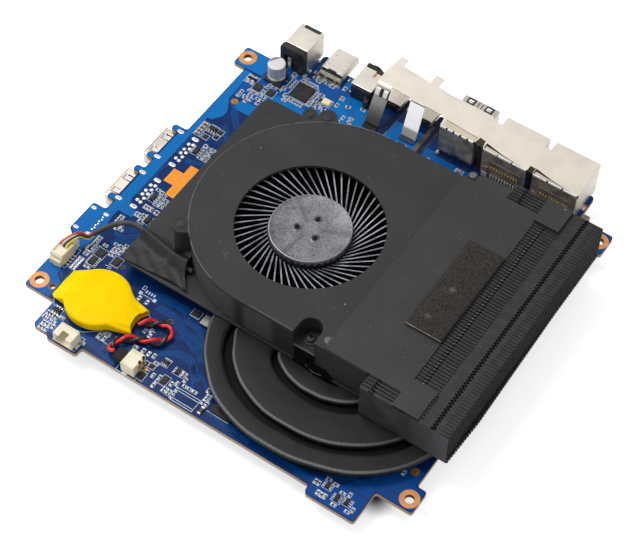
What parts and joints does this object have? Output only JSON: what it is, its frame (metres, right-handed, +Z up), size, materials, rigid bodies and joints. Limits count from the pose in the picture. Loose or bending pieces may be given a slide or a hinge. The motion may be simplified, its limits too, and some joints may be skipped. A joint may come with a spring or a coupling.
{
  "type": "single board computer",
  "caption": "Blue main board of a small desktop computer with rear ports, a coin cell on a lead, and a black blower cooler with flat heat pipes and a fin stack.",
  "frame": {"origin": "middle of the object's footprint, on the surface that it lies on", "axes": "+X from the front ports towards the fins' exhaust side, +Y towards the rear ports, +Z up from the board"},
  "size_m": [0.147, 0.1492, 0.0288],
  "materials": {
    "solder_mask": "blue solder mask on glass-fibre board",
    "nickel": "satin nickel plating on sheet metal",
    "black_moulding": "matt black moulding",
    "cream_nylon": "cream nylon moulding",
    "brass_pin": "plated brass",
    "blue_insert": "blue moulding",
    "can_aluminium": "bright drawn can",
    "black_coat": "satin black coat",
    "copper": "bare copper",
    "fan_plastic": "fine-grained dark grey moulding",
    "rotor_plastic": "dark moulding",
    "film": "matt dark film",
    "foam": "open brown-black foam",
    "tape": "creased black tape",
    "yellow_shrink": "glossy yellow heat-shrink",
    "cell_steel": "plated steel can",
    "red_wire": "red wire jacket",
    "black_wire": "black wire jacket",
    "white_wire": "white wire jacket",
    "yellow_wire": "yellow wire jacket",
    "substrate": "green package with a bare die"
  },
  "bodies": {
    "board": {"audio_jack_cover": "nickel", "audio_jack_moulding": "black_moulding", "battery_header": "cream_nylon", "battery_lead_black": "black_wire", "battery_lead_red": "red_wire", "battery_plug": "black_moulding", "battery_sleeve": "yellow_shrink", "blower_case": "fan_plastic", "blower_cover": "fan_plastic", "blower_stator": "copper", "capacitor_can": "can_aluminium", "capacitor_seat": "black_moulding", "coin_cell": "cell_steel", "cold_plate": "copper", "controller_chip": "black_moulding", "cooler_base_plate": "black_coat", "drive_socket": "black_moulding", "duct_film": "film", "fan_header": "cream_nylon", "fan_lead_sleeve": "black_wire", "fan_plug": "cream_nylon", "fan_wire_black": "black_wire", "fan_wire_red": "red_wire", "fan_wire_white": "white_wire", "fan_wire_yellow": "yellow_wire", "fin_stack": "black_coat", "foam_pad": "foam", "front_usb_1_insulator": "blue_insert", "front_usb_1_shell": "nickel", "front_usb_2_insulator": "blue_insert", "front_usb_2_shell": "nickel", "front_usb_c_insulator": "black_moulding", "front_usb_c_shell": "nickel", "heat_pipe_inner": "black_coat", "heat_pipe_middle": "black_coat", "heat_pipe_outer": "black_coat", "lan_jack_1_insert": "black_moulding", "lan_jack_1_shell": "nickel", "lan_jack_2_insert": "black_moulding", "lan_jack_2_shell": "nickel", "main_board": "solder_mask", "memory_socket_1": "black_moulding", "memory_socket_2": "black_moulding", "port_bracket": "nickel", "power_inlet_moulding": "black_moulding", "power_inlet_pin": "brass_pin", "power_inlet_shell": "nickel", "processor": "substrate", "rear_usb_c_insulator": "black_moulding", "rear_usb_c_shell": "nickel", "side_header": "cream_nylon", "tape_patch": "tape", "usb_stack_insulator": "black_moulding", "usb_stack_shell": "nickel", "video_port_1_insulator": "black_moulding", "video_port_1_shell": "nickel", "video_port_2_insulator": "black_moulding", "video_port_2_shell": "nickel"},
    "rotor": {"blower_rotor": "rotor_plastic"}
  },
  "joints": [
    {"name": "rotor_spin", "type": "hinge", "parent": "board", "child": "rotor", "pos_m": [-0.0017, -0.0053, 0.0194], "axis": [0, 0, 1], "continuous": true}
  ]
}
